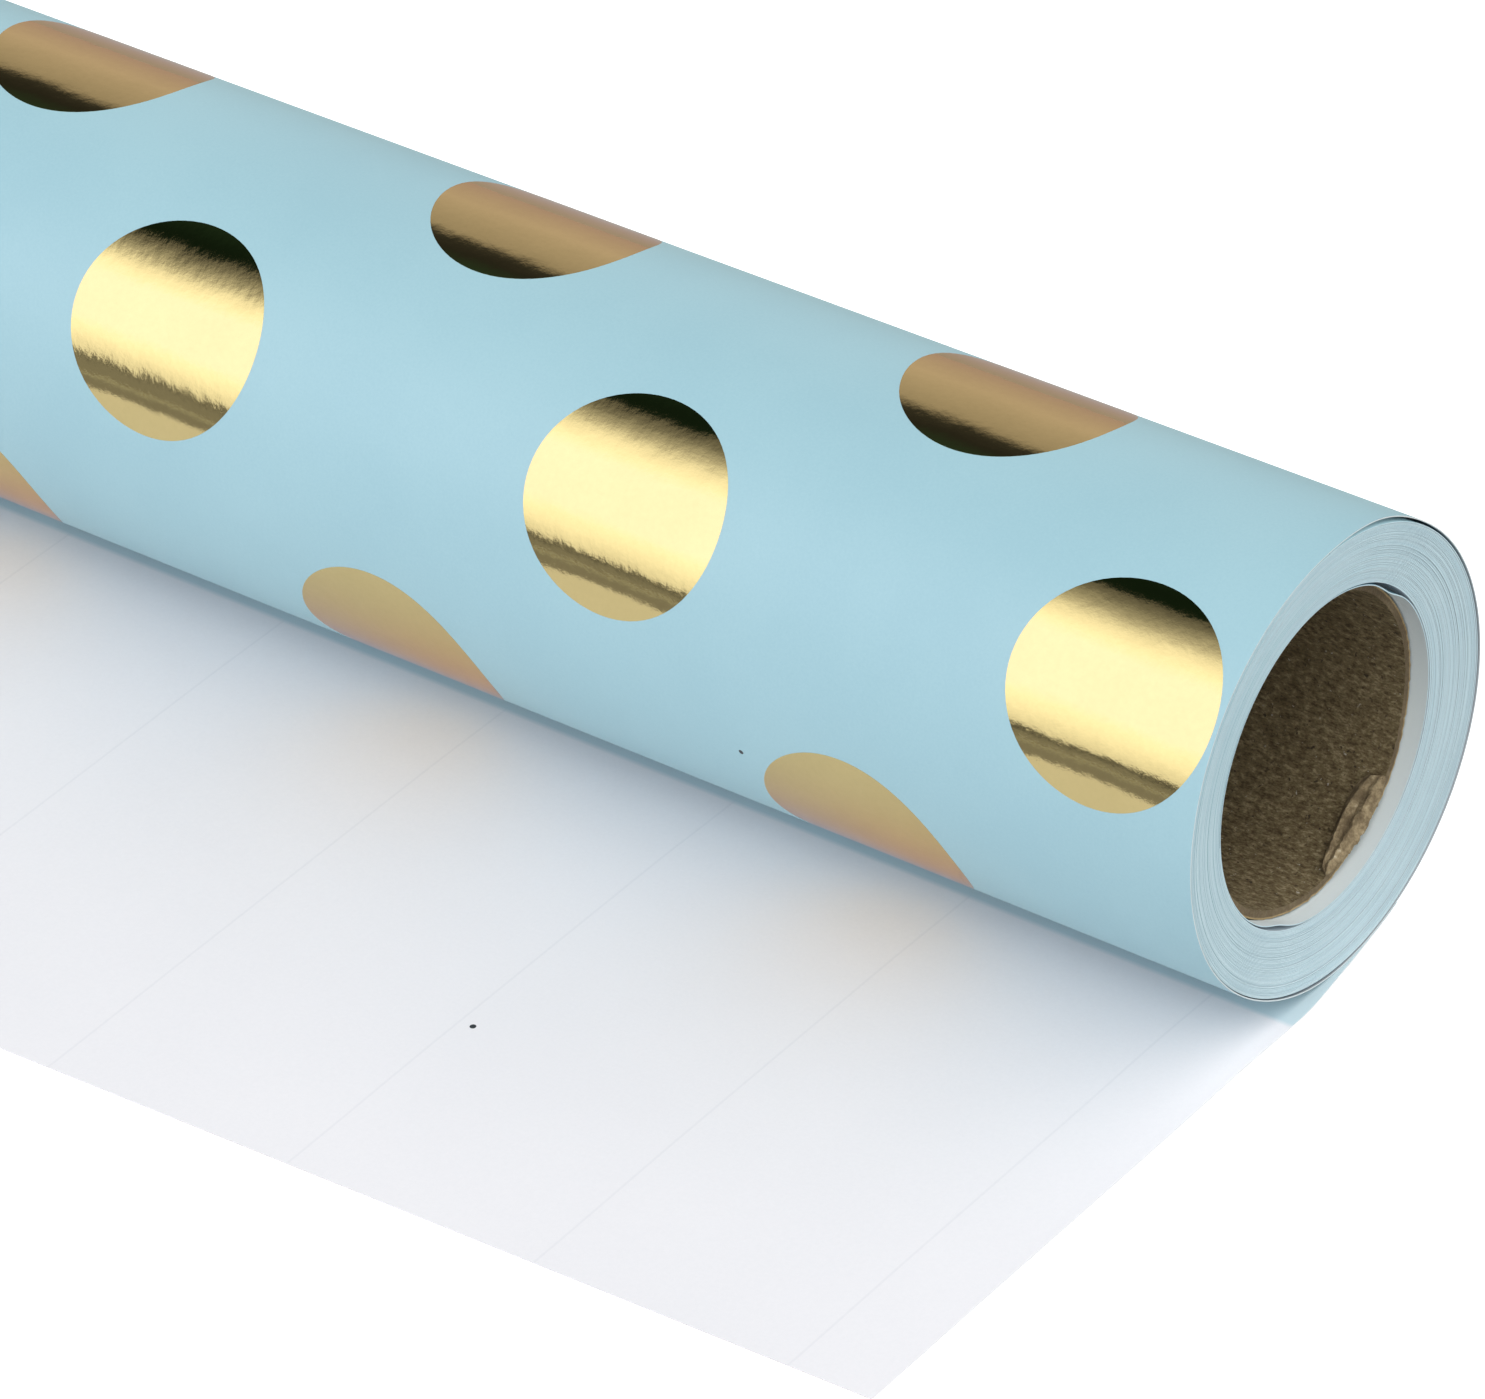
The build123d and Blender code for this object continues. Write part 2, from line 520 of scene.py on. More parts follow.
# %% [markdown]
# ## The top of the sheet, with its cutting grid
#
# The back carries fine grey guide lines an inch apart, square to the roll, to cut along. They are
# printed, so they are colour and not shape. The lines sit at fixed places in X, which the sheet
# keeps as it is pulled out, so object coordinates suit them.
#
# Where the sheet climbs under the roll, painted shade is mixed into the white: a blue-grey that
# stands for the shade of the roll and the blue light its print bounces on to the sheet. That has to
# stay on the same stretch of paper when the sheet is pulled, so it reads an attribute of the mesh.

# %% Top of the sheet
line_pitch = 25.4 * mm
first_line_inset = 8.19 * mm
line_width = 0.16 * mm
line_strength, line_colour = 0.09, (0.30, 0.34, 0.40)
# Painted shade and painted blue bounce light where the sheet climbs under the roll.
nip_shade_from, nip_shade_to = -9.2 * mm, -8.6 * mm
nip_shade_strength, nip_shade_colour = 0.9, (0.49, 0.63, 0.675)
dust_on_sheet = (web_width / 2 - 56.5 * mm, -46.7 * mm, 0.15 * mm)

sheet_white, tree, shader, white = white_paper("sheet_white")
across = split(tree, object_place(tree))["X"]
from_line = calculate(tree, "SUBTRACT", across, sheet_high.x - first_line_inset)
from_line = calculate(tree, "PINGPONG", from_line, line_pitch / 2)
on_line = remap(tree, from_line, line_width * 0.4, line_width, line_strength, 0.0)
colour = mix_colours(tree, on_line, white, line_colour)
along_sheet = add_node(tree, "ShaderNodeAttribute", attribute_name="along_sheet").outputs["Fac"]
# Painted shade: the white turns blue-grey where the sheet climbs under the roll.
nip_shade_share = remap(tree, along_sheet, nip_shade_from, nip_shade_to, 0.0, nip_shade_strength)
colour = mix_colours(tree, nip_shade_share, colour, nip_shade_colour)
colour = add_speck(tree, colour, dust_on_sheet, 0.34 * mm)
plug(tree, shader.inputs["Base Color"], colour)
print(f"a line every {line_pitch / mm:.1f} mm, {line_width / mm:.2f} mm wide")

# %% [markdown]
# ## The cut edge of the web
#
# The end of the roll is hundreds of slit edges. Each is a hair of white pulp with a trace of blue
# ink, and no two are quite the same shade, so the end is streaked in rings. The distance from
# the axis drives a noise in one dimension, which gives rings that run right round.

# %% Cut edge
web_thickness = 0.10 * mm
ring_size, broad_ring_size, patch_size = web_thickness / 0.35, 0.9 * mm, 5 * mm


def about_axis(tree):
    """The place across the roll, measured from its axis, and the distance from the axis."""
    across = add_node(tree, "ShaderNodeMapping", {
        "Vector": object_place(tree), "Location": (0, 0, -axis_z), "Scale": (0, 1, 1)}).outputs[0]
    return across, add_node(
        tree, "ShaderNodeVectorMath", {0: across}, operation="LENGTH").outputs["Value"]


cut_edge, tree, shader = new_material("slit_edge", roughness=0.75, specular_ior_level=0.25)
across, radius = about_axis(tree)
ring = add_node(tree, "ShaderNodeTexNoise", {
    "W": radius, "Scale": 1 / ring_size, "Detail": 3.0, "Roughness": 0.7},
    noise_dimensions="1D").outputs[0]
broad_ring = add_node(tree, "ShaderNodeTexNoise", {
    "W": radius, "Scale": 1 / broad_ring_size, "Detail": 1.0}, noise_dimensions="1D").outputs[0]
patch = add_node(tree, "ShaderNodeTexNoise", {
    "Vector": across, "Scale": 1 / patch_size, "Detail": 2.0}).outputs[0]
shade = calculate(tree, "MULTIPLY", ring, 0.60)
shade = calculate(tree, "MULTIPLY_ADD", patch, 0.20, shade)
shade = calculate(tree, "MULTIPLY_ADD", broad_ring, 0.20, shade)
colour = ramp(tree, shade, [
    (0.25, (0.435, 0.600, 0.665)), (0.45, (0.520, 0.680, 0.735)), (0.60, (0.575, 0.730, 0.780)),
    (0.80, (0.650, 0.800, 0.840))])
plug(tree, shader.inputs["Base Color"], colour)
plug(tree, shader.inputs["Normal"], bump(tree, ring, 0.05 * mm, 0.15))
print(f"rings about {ring_size / mm:.2f} mm and {broad_ring_size / mm:.1f} mm wide")

# %% [markdown]
# ## Gold foil
#
# The dots are stamped foil: a film of metal a few thousandths of a millimetre thick, pressed on
# to smooth paper. It is a true mirror with a warm tint. Its surface follows the paper under it,
# so the reflection has a faint ripple, and its roughness is very slightly cloudy.

# %% Gold foil
ripple_size = 3.5 * mm

stamped_gold, tree, shader = new_material(
    "stamped_gold", metallic=1.0, specular_tint=(1.0, 0.78, 0.82, 1.0))
mottle, relief = fibres(tree, 0.6 * mm, 7 * mm)
colour = ramp(tree, mottle, [(0.35, (0.605, 0.496, 0.232)), (0.65, (0.645, 0.529, 0.250))])
plug(tree, shader.inputs["Base Color"], colour)
plug(tree, shader.inputs["Roughness"], remap(tree, mottle, 0.3, 0.7, 0.025, 0.065))
ripple = add_node(tree, "ShaderNodeTexNoise", {
    "Vector": object_place(tree), "Scale": 1 / ripple_size, "Detail": 2.0}).outputs[0]
uneven = calculate(tree, "MULTIPLY_ADD", relief, 0.30, ripple)
plug(tree, shader.inputs["Normal"], bump(tree, uneven, 0.03 * mm, 0.8))
print(f"foil ripple {ripple_size / mm:.1f} mm")

# %% [markdown]
# ## Core board and tape
#
# The tube is wound from brown recycled board: coarse fibres, dark and pale flecks, and a raw sawn
# rim whose outermost ply is more golden. The tape that holds the start of the paper is clear film
# with a milky adhesive.

# %% Skin of the board
def flecks(tree, size, low, high):
    """Scattered flecks, where a noise is near its top."""
    noise = add_node(tree, "ShaderNodeTexNoise", {
        "Vector": object_place(tree), "Scale": 1 / size, "Detail": 2.0,
        "Roughness": 0.6}).outputs[0]
    return remap(tree, noise, low, high)


brown_board, tree, shader, mottle = fibrous(
    "brown_board", 0.30 * mm, 0.8 * mm, 0.20 * mm, 1.0, stretch=(1, 2, 2),
    roughness=0.85, specular_ior_level=0.25)
colour = ramp(tree, mottle, [
    (0.38, (0.075, 0.052, 0.024)), (0.46, (0.150, 0.112, 0.056)), (0.54, (0.205, 0.158, 0.082)),
    (0.62, (0.350, 0.285, 0.165))])
colour = mix_colours(tree, flecks(tree, 0.55 * mm, 0.64, 0.72), colour, (0.05, 0.035, 0.02))
colour = mix_colours(tree, flecks(tree, 0.42 * mm, 0.70, 0.76), colour, (0.52, 0.48, 0.40))
plug(tree, shader.inputs["Base Color"], colour)
print("board nodes:", len(tree.nodes))

# %% Sawn rim, torn board and tape
golden_from, golden_to = core_radius - 0.20 * mm, core_radius - 0.08 * mm

raw_board, tree, shader, mottle = fibrous(
    "raw_board", 0.3 * mm, 3 * mm, 0.15 * mm, 0.6, roughness=0.9)
brown = ramp(tree, mottle, [
    (0.30, (0.080, 0.056, 0.028)), (0.50, (0.145, 0.105, 0.055)), (0.72, (0.25, 0.19, 0.105))])
golden = ramp(tree, mottle, [
    (0.30, (0.24, 0.165, 0.075)), (0.50, (0.40, 0.29, 0.14)), (0.72, (0.58, 0.45, 0.25))])
outer_ply = remap(tree, about_axis(tree)[1], golden_from, golden_to)
plug(tree, shader.inputs["Base Color"], mix_colours(tree, outer_ply, brown, golden))

torn_board = mottled("torn_board", 0.45 * mm, 1.2 * mm, 0.3 * mm, 0.9, roughness=0.9, tones=[
    (0.30, (0.09, 0.062, 0.030)), (0.48, (0.19, 0.14, 0.075)), (0.60, (0.34, 0.265, 0.15)),
    (0.72, (0.58, 0.50, 0.36))])
start_tape_film = mottled(
    "start_tape_film", 0.8 * mm, 5 * mm, 0.05 * mm, 0.3, roughness=0.3,
    tones=[(0.3, (0.62, 0.60, 0.52)), (0.7, (0.74, 0.72, 0.64))])
tape_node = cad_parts["start_tape"]
tape_node.data.materials.clear()
tape_node.data.materials.append(start_tape_film)
print("materials:", sorted(item.name for item in bpy.data.materials if item.use_nodes))

# %% [markdown]
# ## How the wound paper lies
#
# Three rules give the roll its character, and each is a short function of the angle round the
# axis: 0 at the front, 90 at the top.
#
# - The outermost turn has gone slack, so a gap opens behind the top and under the roll, while
#   the front lies tight.
# - The turns have slid along each other, which makes this end a shallow dish.
# - The sheet leaves the roll underneath.

# %% Shape rules
def angle_gap(phi, centre):
    """Degrees from phi to a centre, the short way round."""
    return (phi - centre + 180.0) % 360.0 - 180.0


def swell(phi, centre, half_width):
    """A smooth hump that is 1 at its centre."""
    return np.exp(-(angle_gap(phi, centre) / half_width) ** 2)


def slack(phi):
    """The gap between the tight wind and the outermost turn."""
    behind_top = 0.44 * swell(phi, 110, 16) + 0.15 * swell(phi, 142, 22)
    underneath = 0.22 * swell(phi, -80, 19)
    back_side = 0.10 * swell(phi, 175, 28)
    return (0.015 + behind_top + underneath + back_side) * mm


def turn_outside(phi):
    """The radius of the printed face of the outermost turn."""
    return wind_radius + slack(phi) + web_thickness


def on_roll(x, phi, radius):
    """Points in the frame, from places along the axis, angles in degrees and radii."""
    turn = np.radians(phi)
    return np.stack(
        [x + 0 * turn, -radius * np.cos(turn), axis_z + radius * np.sin(turn)], axis=-1)


print(f"slack at the front {slack(0.0) / mm:.2f} mm, behind the top {slack(110.0) / mm:.2f} mm")

# %% [markdown]
# ## A helper for thin closed shells
#
# The core and the two loose turns are all thin tubes with an inside, an outside and two edges.
# One helper builds such a shell from a grid of angles and places along X, and gives each of its
# surfaces a material. The mesh is closed, so every face has an outside.

# %% Helpers for closed meshes
def make_piece(name, points, faces, materials, face_materials=None):
    """A mesh object at the origin, with outward faces."""
    mesh = bpy.data.meshes.new(name)
    mesh.from_pydata([tuple(point) for point in points], [], faces)
    for material in materials:
        mesh.materials.append(material)
    if face_materials is not None:
        mesh.polygons.foreach_set("material_index", face_materials)
    piece = bpy.data.objects.new(name, mesh)
    bpy.context.scene.collection.objects.link(piece)
    point_outwards(piece)
    return piece


def point_outwards(piece):
    """Turns the faces of a closed mesh outwards."""
    work = bmesh.new()
    work.from_mesh(piece.data)
    bmesh.ops.recalc_face_normals(work, faces=work.faces)
    work.to_mesh(piece.data)
    work.free()


corner_degrees = 40
soft_corner_degrees = 50


def shade_smooth(piece, sharp_degrees):
    """Smooth shading, with the corners kept sharp."""
    piece.data.shade_smooth()
    work = bmesh.new()
    work.from_mesh(piece.data)
    limit = math.radians(sharp_degrees)
    for edge in work.edges:
        edge.smooth = edge.calc_face_angle(0.0) < limit
    work.to_mesh(piece.data)
    work.free()


# %% Shell helper
def shell(name, stations, outer, inner, shift, materials, around=256):
    """A closed tube. outer, inner and shift are functions of the angle and of x."""
    phi = np.arange(around) * 360.0 / around
    rows = len(stations)
    outside, inside = [], []
    for x in stations:
        where = x + shift(phi, x)
        outside.append(on_roll(where, phi, outer(phi, x)))
        inside.append(on_roll(where, phi, inner(phi, x)))
    faces, kinds = [], []

    def at(layer, row, column):
        return (layer * rows + row) * around + column % around

    for row in range(rows - 1):
        for column in range(around):
            for layer in (0, 1):
                faces.append((
                    at(layer, row, column), at(layer, row + 1, column),
                    at(layer, row + 1, column + 1), at(layer, row, column + 1)))
                kinds.append(layer)
    for row in (0, rows - 1):
        for column in range(around):
            faces.append((
                at(0, row, column), at(0, row, column + 1),
                at(1, row, column + 1), at(1, row, column)))
            kinds.append(2)
    piece = make_piece(name, np.concatenate(outside + inside), faces, materials, kinds)
    shade_smooth(piece, corner_degrees)
    return piece


# %% [markdown]
# ## The core tube
#
# A spiral-wound board tube, recessed behind the paper because the turns have slid outwards over
# it. The saw has left its rim slightly rough, so the rim wanders by a tenth of a millimetre.
# The bore carries the faint step of a spiral seam.

# %% Core tube
random = np.random.default_rng(41)
core_bore = 14.0 * mm
core_around = 256
near_rim, far_rim = core_high.x, core_low.x
rim_grain, rim_wave, rim_waves = 0.03 * mm, 0.06 * mm, 7
rim_noise = random.normal(0, rim_grain, core_around)
rim_noise += rim_wave * np.sin(np.arange(core_around) * rim_waves * math.tau / core_around)
seam_rise, seam_step, seam_width = 96 * mm, 0.09 * mm, 0.05


def core_outer(phi, x):
    return core_radius + 0 * phi


def core_inner(phi, x):
    """The bore, with a shallow step where the inner strip of board meets itself."""
    along = (phi / 360.0 + x / seam_rise) % 1.0
    return core_bore + seam_step * np.clip(along / seam_width, 0, 1) * (1 - along)


def rim_shift(phi, x):
    """Only the two rims are rough."""
    at_rim = abs(x - near_rim) < 1e-6 or abs(x - far_rim) < 1e-6
    return rim_noise * at_rim


near_places = near_rim - np.array([0, 0.5, 1.5, 3, 5, 8]) * mm
middle_places = np.linspace(near_rim - 12 * mm, far_rim + 12 * mm, 90)
far_places = far_rim + np.array([8, 5, 3, 1.5, 0.5, 0]) * mm
core_stations = np.concatenate([near_places, middle_places, far_places])
core_tube = shell(
    "core_tube", core_stations, core_outer, core_inner, rim_shift,
    [brown_board, brown_board, raw_board], around=core_around)
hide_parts("core_inner_ply", "core_middle_ply", "core_outer_ply")
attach(core_tube, "roll")
print("core tube faces:", len(core_tube.data.polygons))

# %% [markdown]
# ## The torn flap
#
# Sawing has lifted a flap of the innermost ply at the rim. It is a thin curled patch whose free
# edge stands off the bore, so it is made as a small grid, bent up towards its torn edge and
# given the thickness of the ply.
#
# A thin patch is two like grids, one over the other, closed round their border. The pulled sheet
# is built in the same way, so one helper gives the faces of both.

# %% Two-layer helper
def two_layers(lines, places):
    """Faces for two like grids. Returns them with their kinds: the layer, or 2 for the border."""
    faces, kinds = [], []
    layer_size = lines * places
    for layer in (0, 1):
        for line in range(lines - 1):
            for place in range(places - 1):
                first = layer * layer_size + line * places + place
                faces.append((first, first + 1, first + places + 1, first + places))
                kinds.append(layer)
    border = list(range(places))
    border += [line * places + places - 1 for line in range(1, lines)]
    border += [(lines - 1) * places + place for place in range(places - 2, -1, -1)]
    border += [line * places for line in range(lines - 2, 0, -1)]
    for first, second in zip(border, border[1:] + border[:1]):
        faces.append((first, second, second + layer_size, first + layer_size))
        kinds.append(2)
    return faces, kinds


# %% Torn flap
flap_angles = np.linspace(-97, -140, 29)
flap_depth = 3.0 * mm
flap_lift = 0.75 * mm
crease_height = 0.22 * mm
flap_grain = 0.035 * mm
ply_thickness = 0.18 * mm
flap_rows = 13
torn = random.normal(0, 1, (flap_rows, len(flap_angles)))
top_points, under_points = [], []
for row in range(flap_rows):
    share = row / (flap_rows - 1)
    for column, phi in enumerate(flap_angles):
        along = column / (len(flap_angles) - 1)
        middle = math.sin(math.pi * along) ** 0.35
        lift = flap_lift * (0.35 + 0.65 * math.sin(math.pi * share) ** 0.7) * middle
        crease = crease_height * math.sin(math.tau * (2.1 * share + 0.35 * along)) * middle
        depth = flap_depth * share * (0.42 + 0.58 * along) * middle
        forward = (0.55 * middle + 0.06 * torn[row, column]) * (1 - share) * mm
        x = near_rim - depth + forward
        wobble = flap_grain * torn[row, column] + crease
        top_points.append(on_roll(x, phi, core_bore - lift - ply_thickness + wobble))
        under_points.append(on_roll(x, phi, core_bore - lift + wobble))
flap_faces = two_layers(flap_rows, len(flap_angles))[0]
torn_flap = make_piece("torn_flap", top_points + under_points, flap_faces, [torn_board])
shade_smooth(torn_flap, soft_corner_degrees)
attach(torn_flap, "roll")
print("torn flap faces:", len(torn_flap.data.polygons))

# %% [markdown]
# ## Geometry Nodes helpers
#
# The wound web and the foil dots follow rules, so node trees make them. Each tree gets named
# inputs. The modifier is filled in by socket identifier before it is evaluated, and its result
# is baked to a plain mesh.

# %% Helpers for node trees
def new_tree(name, inputs):
    """A geometry tree with named number inputs. Returns the tree, its inputs and its output."""
    tree = bpy.data.node_groups.new(name, "GeometryNodeTree")
    tree.is_modifier = True
    tree.interface.new_socket("Geometry", in_out="OUTPUT", socket_type="NodeSocketGeometry")
    for label, value in inputs.items():
        kind = "NodeSocketInt" if isinstance(value, int) else "NodeSocketFloat"
        socket = tree.interface.new_socket(label, in_out="INPUT", socket_type=kind)
        socket.default_value = value
    given = tree.nodes.new("NodeGroupInput").outputs
    result = tree.nodes.new("NodeGroupOutput").inputs[0]
    return tree, given, result


def place_now(tree):
    """The X, Y and Z of each point, as it is where they are used."""
    return split(tree, add_node(tree, "GeometryNodeInputPosition").outputs[0])


def bake(name, tree, values):
    """The tree's geometry as a plain mesh object, with nothing left to evaluate."""
    holder = bpy.data.objects.new(name + "_holder", bpy.data.meshes.new(name + "_holder"))
    bpy.context.scene.collection.objects.link(holder)
    modifier = holder.modifiers.new(tree.name, "NODES")
    modifier.node_group = tree
    for item in tree.interface.items_tree:
        if item.in_out == "INPUT" and item.name in values:
            modifier[item.identifier] = values[item.name]
    depsgraph = bpy.context.evaluated_depsgraph_get()
    mesh = bpy.data.meshes.new_from_object(holder.evaluated_get(depsgraph), depsgraph=depsgraph)
    bpy.data.objects.remove(holder)
    mesh.name = name
    piece = bpy.data.objects.new(name, mesh)
    bpy.context.scene.collection.objects.link(piece)
    return piece


# %% [markdown]
# ## The wound web
#
# The body of the roll is one strip of paper wound about sixty times. A spiral curve carries a
# profile that is one paper thick and one web wide, which is how the real roll is made. Rings
# would be easier, but a spiral has the right end face: every turn leads into the next.
#
# Each turn has slid along its neighbours. The slide is a steady dish from core to rim, plus a
# smooth noise along the strip, so that neighbouring turns differ and no turn has a jump in it.
#
# A face's material comes from the way it faces: print on the outside, white with painted shade on
# the inside and the cut edge at the ends.

# %% The tree of the wound web
turns_between_seeds = 83.0


def build_wound_web():
    tree, given, result = new_tree("wound_web", {
        "Start Radius": 15.2 * mm, "End Radius": 20.9 * mm, "Turns": 57.0,
        "Points per Turn": 128, "Web Width": 762 * mm, "Web Thickness": 0.1 * mm,
        "Axis Height": 21.65 * mm, "Slide at Core": -1.0 * mm, "Slide at Rim": 0.0,
        "Slide Scatter": 0.1 * mm, "Seed": 3})
    spiral = add_node(tree, "GeometryNodeCurveSpiral", {
        "Resolution": given["Points per Turn"], "Rotations": given["Turns"],
        "Start Radius": given["Start Radius"], "End Radius": given["End Radius"],
        "Height": 0.0}).outputs[0]
    share = add_node(tree, "GeometryNodeSplineParameter").outputs["Factor"]
    turn = calculate(tree, "MULTIPLY", share, given["Turns"])
    store = add_node(tree, "GeometryNodeStoreNamedAttribute", {
        "Geometry": spiral, "Name": "turn", "Value": turn}, data_type="FLOAT", domain="POINT")
    profile = add_node(tree, "GeometryNodeCurvePrimitiveQuadrilateral", {
        "Width": given["Web Thickness"], "Height": given["Web Width"]}).outputs[0]
    strip = add_node(tree, "GeometryNodeCurveToMesh", {
        "Curve": store.outputs[0], "Profile Curve": profile, "Fill Caps": True}).outputs[0]

    flat = place_now(tree)
    square = calculate(tree, "ADD", calculate(tree, "MULTIPLY", flat[0], flat[0]),
                       calculate(tree, "MULTIPLY", flat[1], flat[1]))
    radius = calculate(tree, "SQRT", square)
    dish = remap(
        tree, radius, given["Start Radius"], given["End Radius"],
        given["Slide at Core"], given["Slide at Rim"])
    turn_here = add_node(
        tree, "GeometryNodeInputNamedAttribute", {"Name": "turn"}, data_type="FLOAT").outputs[0]
    seed_shift = calculate(tree, "MULTIPLY", given["Seed"], turns_between_seeds)
    seeded = calculate(tree, "ADD", turn_here, seed_shift)
    wander = add_node(tree, "ShaderNodeTexNoise", {
        "W": seeded, "Scale": 1.7, "Detail": 1.0}, noise_dimensions="1D").outputs[0]
    wander = calculate(tree, "SUBTRACT", wander, 0.5)
    scatter = calculate(tree, "MULTIPLY", wander, given["Slide Scatter"])
    slide = calculate(tree, "ADD", dish, scatter)
    placed = add_node(tree, "ShaderNodeCombineXYZ", {
        "X": calculate(tree, "ADD", flat[2], slide),
        "Y": calculate(tree, "MULTIPLY", flat[0], -1.0),
        "Z": calculate(tree, "ADD", flat[1], given["Axis Height"])}).outputs[0]
    wound = add_node(tree, "GeometryNodeSetPosition", {
        "Geometry": strip, "Position": placed}).outputs[0]
    wound = add_node(tree, "GeometryNodeFlipFaces", {0: wound}).outputs[0]

    facing = add_node(tree, "GeometryNodeInputNormal").outputs[0]
    here = place_now(tree)
    outward = add_node(tree, "ShaderNodeCombineXYZ", {
        "Y": here[1], "Z": calculate(tree, "SUBTRACT", here[2], given["Axis Height"])}).outputs[0]
    outward = add_node(tree, "ShaderNodeVectorMath", {0: outward}, operation="NORMALIZE").outputs[0]
    lean = add_node(tree, "ShaderNodeVectorMath", {
        0: facing, 1: outward}, operation="DOT_PRODUCT").outputs["Value"]
    whole = add_node(tree, "GeometryNodeRealizeInstances", {0: wound}).outputs[0]
    # The inner faces get white with painted shade.
    for material, chosen in (
            (cut_edge, True),
            (blue_print, calculate(tree, "GREATER_THAN", lean, 0.5)),
            (painted_shade_between_turns, calculate(tree, "LESS_THAN", lean, -0.5))):
        whole = add_node(tree, "GeometryNodeSetMaterial", {
            "Geometry": whole, "Selection": chosen, "Material": material}).outputs[0]
    plug(tree, result, whole)
    return tree


# %% Wound web
core_clearance = 0.2 * mm
part_turn = 0.25
turn_thickness = 0.96 * web_thickness
dish_depth, rim_proud, slide_scatter = 1.0 * mm, 0.02 * mm, 0.12 * mm

wind_start = inner_turn_radius + core_clearance
turns = round((wind_radius - wind_start) / web_thickness)
wound_web = bake("wound_web", build_wound_web(), {
    "Start Radius": wind_start + web_thickness / 2, "End Radius": wind_radius - web_thickness / 2,
    "Turns": float(turns) - part_turn, "Web Width": web_width, "Web Thickness": turn_thickness,
    "Axis Height": axis_z, "Slide at Core": -dish_depth, "Slide at Rim": rim_proud,
    "Slide Scatter": slide_scatter, "Seed": 3})
point_outwards(wound_web)
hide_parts("inner_wind", "middle_wind", "outer_wind")
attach(wound_web, "roll")
print("wound web turns:", turns, "faces:", len(wound_web.data.polygons))

# %% [markdown]
# ## The innermost turn
#
# The first turn has let go of the wind near the end of the roll and bulges into the bore in two
# places, which leaves lens-shaped gaps behind it. Away from the end it is held by the core, so
# the bulge fades out along X.

# %% Lifted turn
loose_thickness = 0.95 * web_thickness
lifted_inset = 1.03 * mm
lifted_end = web_width / 2 - lifted_inset
bulge_length, pressed_length = 1.3 * mm, 3 * mm
pressed_by, lifted_wave = 0.16 * mm, 0.03 * mm


def fade_in(x, length):
    """1 at the end of the turn, falling smoothly to 0 within a few lengths."""
    return np.exp(-((x - lifted_end) / length) ** 2)


def bulge(phi, x):
    """How far the innermost turn stands in from the wind."""
    over = 0.32 * swell(phi, 132, 7.5) + 0.26 * swell(phi, -60, 7.0)
    return (over * fade_in(x, bulge_length)) * mm


def lifted_outer(phi, x):
    """The printed face, pressed out against the wind between the two bulges."""
    pressed = pressed_by * (1 - swell(phi, 131, 14) - swell(phi, -60, 14))
    return inner_turn_radius + pressed * fade_in(x, pressed_length) - bulge(phi, x)


def lifted_inner(phi, x):
    return lifted_outer(phi, x) - loose_thickness


def lifted_shift(phi, x):
    """The end of the turn isn't quite square."""
    return lifted_wave * np.sin(np.radians(3 * phi))


lifted_stations = np.concatenate([
    lifted_end - np.array([0, 0.3, 0.7, 1.1, 1.6, 2.2, 3.0, 5.0, 9.0]) * mm,
    np.linspace(lifted_end - 20 * mm, lifted_end - web_width, 30)])
# Its printed face is blue with painted gap shade, and its inside is white with painted shade and
# painted blue bounce light.
lifted_turn = shell(
    "lifted_turn", lifted_stations, lifted_outer, lifted_inner, lifted_shift,
    [shaded_gap_print, painted_light_white, cut_edge])
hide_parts("innermost_turn")
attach(lifted_turn, "roll")
print("lifted turn faces:", len(lifted_turn.data.polygons))

# %% [markdown]
# ## The outermost turn
#
# This is the turn that shows. It is slack, so it stands off the wind by the rule above.

# %% Outermost turn
outer_proud, outer_wave = 0.10 * mm, 0.07 * mm


def outer_face(phi, x):
    return turn_outside(phi)


def inner_face(phi, x):
    return turn_outside(phi) - web_thickness


def outer_shift(phi, x):
    """The turn has slid a little further out on two sides."""
    return outer_wave * np.sin(np.radians(2 * phi + 40))


outer_end = web_width / 2 + outer_proud
outer_stations = np.linspace(outer_end, outer_end - web_width, 40)
# Its inside is white with painted shade deep in the gap, and its rim is a painted highlight,
# lighter than the cut edge.
outer_turn = shell(
    "outer_turn", outer_stations, outer_face, inner_face, outer_shift,
    [blue_print, shaded_gap_side, painted_light_white], around=360)
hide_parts("outermost_turn")
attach(outer_turn, "roll")
print("outermost turn faces:", len(outer_turn.data.polygons))

# %% [markdown]
# ## The foil dots
#
# The print is laid out flat, before the paper is wound: dots two inches apart in rows one inch
# apart, with every second row moved along by half a pitch. One tree lays out any run of rows, so
# the roll and the pulled sheet get two stretches of the same pattern.
#
# A dot is a small grid squeezed into a circle. Its rows run along the roll, so it can bend round
# the roll with few faces.

# %% Dots, laid out flat
dot_radius = 10.15 * mm
dot_pitch = 50.8 * mm
row_pitch = 25.4 * mm
first_inset = 10.5 * mm
first_row_at = 10.1 * mm
foil_thickness = 0.015 * mm
weld_distance = 0.001 * mm


